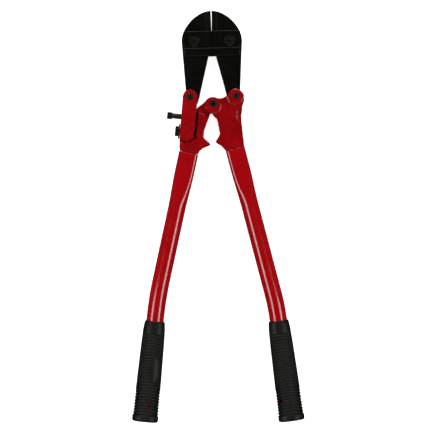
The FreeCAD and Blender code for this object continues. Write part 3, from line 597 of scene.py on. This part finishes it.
# close stations where the rubber turns over, from the top and back from the end, and those of the bore
TOP_STATIONS = (0.0, 0.35, 0.7)
END_STATIONS = (2.0, 1.4, 0.9, 0.4, 0.15, 0.0)
END_ZONE = 2.2
BORE_STATIONS = (TUBE_UNDER_GRIP, 100.0, 50.0, 0.6)
RIB_PITCH = 4.4
STATIONS_PER_RIB = 9
RIB_DEPTH = 1.4
RIB_SHARPNESS = 1.6
RIBS_FROM = 18.0
RIBS_TO = 140.0
RIB_FADE = 1.2
# the ribs cover this share of the half width, and lower down they reach right round the sides
RIB_REACH = 0.80
RIB_EXTRA_REACH = 0.30
RIB_WIDENS_FROM = 85
RIB_WIDENS_TO = 110
RIB_EDGE_FADE = 0.10
SPINE_HALF = 0.05
SPINE_FADE_TO = 0.10
# a smooth oval pad, which sits a share of the half width across; the ribs come back between PAD_FADE
# times its half length and half width
PAD_MIDDLE = 72.0
PAD_ACROSS = 0.30
PAD_HALF_LONG = 19.0
PAD_HALF_WIDE = 7.6
PAD_FADE = (0.97, 1.06)
VENT_RADIUS = 2.8
# the drill for the vent runs between these distances from the grip's centreline
VENT_DRILL = (9, 24)
# where the moulded spine runs across the face, and the vent hole: share of the half width, mm from the end
GRIP_LOOKS = {
    "left": {"spine": 0.24, "vent_across": 0.22, "vent_from_end": 24.5, "pad": True},
    "right": {"spine": 0.12, "vent_across": -0.68, "vent_from_end": 32.0, "pad": False},
}


def grip_size(along):
    """Half width and half thickness of the grip at a distance from its top."""
    for (a, wide_a, thick_a), (b, wide_b, thick_b) in zip(GRIP_PROFILE, GRIP_PROFILE[1:]):
        if along <= b:
            share = (along - a) / (b - a)
            return blend(wide_a, wide_b, share), blend(thick_a, thick_b, share)
    return GRIP_PROFILE[-1][1:]


def rib_sink(side, along, x, z, wide):
    """How far the rubber is sunk at a place on the grip: grooves between ribs, beside the spine."""
    look = GRIP_LOOKS[side]
    across = x / wide
    zone = ease(along, RIBS_FROM - RIB_FADE, RIBS_FROM) * (1 - ease(along, RIBS_TO, RIBS_TO + RIB_FADE))
    edge = RIB_REACH + RIB_EXTRA_REACH * ease(along, RIB_WIDENS_FROM, RIB_WIDENS_TO)
    face = ease(across, -edge, RIB_EDGE_FADE - edge) * (1 - ease(across, edge - RIB_EDGE_FADE, edge))
    beside = ease(abs(across - look["spine"]), SPINE_HALF, SPINE_FADE_TO)
    amount = zone * face * beside
    if look["pad"] and z > 0:
        out = math.hypot((along - PAD_MIDDLE) / PAD_HALF_LONG, (across - PAD_ACROSS) * wide / PAD_HALF_WIDE)
        amount *= ease(out, *PAD_FADE)
    wave = 0.5 - 0.5 * math.cos(2 * math.pi * (along - RIBS_FROM) / RIB_PITCH)
    return RIB_DEPTH * amount * wave ** RIB_SHARPNESS


def grip_skin_ring(side, along, point, across):
    """The grip's outline at one station, with its ribs and grooves."""
    wide, thick = grip_size(along)
    ring = []
    for i in range(GRIP_SIDES):
        x, z = oval_point(2 * math.pi * i / GRIP_SIDES, wide, thick, GRIP_POWER)
        sink = rib_sink(side, along, x, z, wide)
        length = math.hypot(x, z)
        x -= x / length * sink
        z -= z / length * sink
        ring.append(point + (across * x + UP * z) * MM)
    return ring


def grip(side):
    top = grip_start(side)
    step = RIB_PITCH / STATIONS_PER_RIB
    stations = {step * n for n in range(1, int((GRIP_LENGTH - END_ZONE) / step) + 1)}
    stations |= set(TOP_STATIONS) | {GRIP_LENGTH - back for back in END_STATIONS}
    rings = []
    for depth in BORE_STATIONS:
        point, direction = centreline(side, top + depth)
        rings.append(circle(point, UP.cross(direction), UP, GRIP_BORE * MM, GRIP_SIDES))
    for along in sorted(stations):
        point, direction = centreline(side, top + along)
        rings.append(grip_skin_ring(side, along, point, UP.cross(direction)))
    mesh = build(skin_rings, rings)
    # vent hole, square to the skin
    look = GRIP_LOOKS[side]
    point, direction = centreline(side, top + GRIP_LENGTH - look["vent_from_end"])
    tilt = math.asin(look["vent_across"])
    outward = UP.cross(direction) * math.sin(tilt) + UP * math.cos(tilt)
    start, end = [point + outward * distance * MM for distance in VENT_DRILL]
    drill = build(rod, start, end, VENT_RADIUS * MM, VENT_RADIUS * MM)
    mesh = carve(mesh, [drill])
    name, body = side + "_grip_rubber", side + "_handle"
    piece = new_object(name, mesh, GRIP_RUBBER, body, GRIP_SHARP_OVER)
    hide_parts(side + "_grip")


grip("left")
grip("right")

# ---------------------------------------------------------------- forged handle heads and link plates
# levels are measured from the tool's mid plane; the heads reach HEAD_TOP above and below it
HEAD_TOP = 12.5
# voxel size and rounds of smoothing of a forging, and the hollows in its skin
HEAD_VOXEL = 0.55
HEAD_SMOOTHING = 3
FORGED_SHARP_OVER = 50
PIT_SIZE = 5.0
PIT_DEPTH = 1.0
# raised bosses round the right head's two pivots: middle and root radius
LOBE = spot(-0.9, -2.2)
BOSS = RIGHT_JAW_PIVOT + Vector((-1.9, -1.5, 0)) * MM
RAISED = [(BOSS, 11.5), (LOBE, 12.4)]
RAISED_ROOT = 8.0
RAISED_HEIGHT = 0.8
RAISED_TAPER = 0.6
# the shallow channel down the right head's outer side
CHANNEL = [spot(36.2, -12), spot(34.8, -36), spot(36.4, -50)]
CHANNEL_RADIUS = 3.4
CHANNEL_LEVEL = HEAD_TOP + 2.2
CHANNEL_SIDES = 24
# the round seats of the two caps on the right head: middle and radius
SEATS = [(CENTRE, 5.9), (RIGHT_JAW_PIVOT, 5.2)]
SEAT_LEVEL = HEAD_TOP - 2.2
SEAT_CUT_TOP = HEAD_TOP + 4
# the deep gap between the left head's ridge and the link's inner edge, on the front face
GAP = [spot(-26.4, -12.0), spot(-21.9, -14.0), spot(-26.2, -52.0), spot(-31.0, -51.0)]
GAP_LEVEL = 1.0
GAP_CUT_TOP = 20.0
LINK_VOXEL = 0.4
LINK_SMOOTHING = 4
# the faired cover over the trunnion's end: root and top radius, depth into the plate, height over it
COVER_RADIUS = 8.4
COVER_TOP_RADIUS = 7.9
COVER_ROOT = 0.9
COVER_HEIGHT = 0.12


def disc_at(point, radius, low, high, top_radius):
    """An upright disc or cone between two levels."""
    start = Vector((point.x, point.y, MID + low * MM))
    end = Vector((point.x, point.y, MID + high * MM))
    return build(rod, start, end, radius * MM, top_radius * MM)


def prism(corners, low, high):
    """A straight-sided block over a flat outline, between two levels."""
    return build(skin_rings, [[point + UP * level * MM for point in corners] for level in (low, high)])


def groove_bars(points, radius, level):
    """Round bars through points at a level, for a groove with a round bottom."""
    raised = [point + UP * level * MM for point in points]
    ends = zip(raised, raised[1:])
    return [build(rod, a, b, radius * MM, radius * MM, CHANNEL_SIDES) for a, b in ends]


def uneven(mesh):
    """The shallow hollows of a forging's skin, always inward."""
    texture = bpy.data.textures.new("forging_skin", "CLOUDS")
    texture.noise_scale = PIT_SIZE * MM
    texture.noise_depth = 2
    piece = placed("work", mesh)
    modify(
        piece,
        "DISPLACE",
        texture=texture,
        texture_coords="GLOBAL",
        mid_level=1.0,
        strength=PIT_DEPTH * MM,
    )
    return evaluated(piece)


def right_head():
    solids = [cad_mesh("right_handle_head")]
    top = HEAD_TOP + RAISED_HEIGHT
    for sign in (1, -1):
        for middle, radius in RAISED:
            solids.append(disc_at(middle, radius, sign * RAISED_ROOT, sign * top, radius - RAISED_TAPER))
    mesh = uneven(forged(solids, HEAD_VOXEL, HEAD_SMOOTHING))
    channel = groove_bars(CHANNEL, CHANNEL_RADIUS, CHANNEL_LEVEL)
    seats = [disc_at(middle, radius, SEAT_LEVEL, SEAT_CUT_TOP, radius) for middle, radius in SEATS]
    mesh = carve(mesh, channel + seats)
    piece = new_object("right_head_forging", mesh, HEAD_RED, "right_handle", FORGED_SHARP_OVER)
    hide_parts("right_handle_head")


def left_head():
    mesh = uneven(forged([cad_mesh("left_handle_head")], HEAD_VOXEL, HEAD_SMOOTHING))
    mesh = carve(mesh, [prism(GAP, GAP_LEVEL, GAP_CUT_TOP)])
    piece = new_object("left_head_forging", mesh, HEAD_RED, "left_handle", FORGED_SHARP_OVER)
    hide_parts("left_handle_head")


def link_plate(face):
    """One of the link's two plates, with the trunnion's end faired into its outer face."""
    node = face + "_link_plate"
    plate = cad_mesh(node)
    sign = 1 if face == "front" else -1
    outer = max(sign * (vertex.co.z - MID) for vertex in plate.vertices) / MM
    low, high = sign * (outer - COVER_ROOT), sign * (outer + COVER_HEIGHT)
    cover = disc_at(TRUNNION, COVER_RADIUS, low, high, COVER_TOP_RADIUS)
    mesh = forged([plate, cover], LINK_VOXEL, LINK_SMOOTHING)
    piece = new_object(face + "_link_forging", mesh, LINK_RED, "link", FORGED_SHARP_OVER)
    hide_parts(node)


right_head()
left_head()
link_plate("front")
link_plate("back")

# ---------------------------------------------------------------- CAD nodes shown as they are
# material, width and segments of the edge round, and the nodes
DRESSED = [
    (JAW_BLACK, 0.8, 4, ["left_jaw", "right_jaw"]),
    (STRAP_BLACK, 0.8, 4, ["front_strap", "back_strap"]),
    (HEAD_RED, 0.5, 2, ["screw_block"]),
    (LINK_RED, 0.5, 2, ["link_trunnion"]),
    (CAP_STEEL, 0.3, 2, ["left_jaw_bolt", "right_jaw_bolt", "center_bolt"]),
    (CAP_BLACK, 0.3, 2, ["left_strap_bolt", "right_strap_bolt"]),
    (BOLT_BLACK, 0.4, 2, ["left_strap_nut", "right_strap_nut", "left_jaw_nut", "right_jaw_nut"]),
    (BOLT_BLACK, 0.4, 2, ["center_nut", "lock_bolt", "adjusting_screw"]),
    (BOLT_BLACK, 0.3, 2, ["lock_washer"]),
    (TUBE_RED, 0.3, 2, ["left_tube_pin", "right_tube_pin"]),
]
for material, bevel_mm, segments, nodes in DRESSED:
    for node in nodes:
        dress(node, material, bevel_mm, segments)

# ---------------------------------------------------------------- floor, lights and camera
FLOOR_HALF = 6.0
FLOOR_GLOW = 0.8
WHITE = (1, 1, 1, 1)
# strength of the dome of soft light, and what glossy reflections see of it
DOME_STRENGTH = 0.55
DOME_IN_REFLECTIONS = 0.015


def floor():
    """A lit white table."""
    bm = bmesh.new()
    signs = ((-1, -1), (1, -1), (1, 1), (-1, 1))
    bm.faces.new([bm.verts.new((x * FLOOR_HALF, y * FLOOR_HALF, 0)) for x, y in signs])
    material = new_material("pale_floor", roughness=0.8, specular=0.1)
    shader = shader_of(material)
    shader.inputs["Emission Color"].default_value = WHITE
    shader.inputs["Emission Strength"].default_value = FLOOR_GLOW
    vary(material, "Base Color", noise(material, size_mm=300, detail=2), grey(0.86), grey(0.88))
    ground = new_object("floor", mesh_of(bm), material)
    # kept out of reflections so that the tubes' sides stay deep red
    ground.visible_glossy = False


def softbox(name, place, aim, wide, tall, radiance):
    """A rectangular light, wide on the level and tall up its slope, with a set brightness."""
    light = bpy.data.lights.new(name, "AREA")
    light.shape = "RECTANGLE"
    light.size = wide
    light.size_y = tall
    light.energy = radiance * math.pi * wide * tall
    lamp = placed(name, light)
    lamp.location = place
    lamp.rotation_euler = (Vector(place) - Vector(aim)).to_track_quat("Z", "Y").to_euler()


floor()
for name, hand in (("side_light_left", -1), ("side_light_right", 1)):
    softbox(name, place=(hand * 1.50, -0.40, 1.42), aim=(0, -0.40, 0), wide=1.0, tall=0.85, radiance=9.0)
softbox("far_light", place=(0, 2.3, 1.5), aim=(0, 0, 0), wide=2.4, tall=1.0, radiance=8.0)
softbox("near_light", place=(0, -2.6, 1.4), aim=(0, 0, 0), wide=2.4, tall=1.0, radiance=2.5)

world = bpy.data.worlds.new("studio")
bpy.context.scene.world = world
world.use_nodes = True
# an even dome of soft light, which stays dim in glossy reflections so that flat faces keep their colour
dome = world.node_tree.nodes["Background"]
dome.inputs["Color"].default_value = WHITE
ray = world.node_tree.nodes.new("ShaderNodeLightPath")
level = world.node_tree.nodes.new("ShaderNodeMapRange")
level.inputs["To Min"].default_value = DOME_STRENGTH
level.inputs["To Max"].default_value = DOME_IN_REFLECTIONS
world.node_tree.links.new(ray.outputs["Is Glossy Ray"], level.inputs["Value"])
world.node_tree.links.new(level.outputs["Result"], dome.inputs["Strength"])

# the camera looks straight down, turned a little; the view is 0.636 m wide at the tool's mid plane
VIEW_WIDTH = 0.6364
LENS_MM = 200
SENSOR_MM = 36
CAMERA_OFFSET = Vector((2.6, 3.5, 0)) * MM
CAMERA_TURN = math.radians(-1.43)
camera_data = bpy.data.cameras.new("camera")
camera_data.lens = LENS_MM
camera_data.sensor_width = SENSOR_MM
camera = placed("camera", camera_data)
camera.location = CAMERA_OFFSET + UP * (MID + VIEW_WIDTH * LENS_MM / SENSOR_MM)
camera.rotation_euler = (0, 0, CAMERA_TURN)
bpy.context.scene.camera = camera
bpy.context.scene.view_settings.view_transform = "Standard"
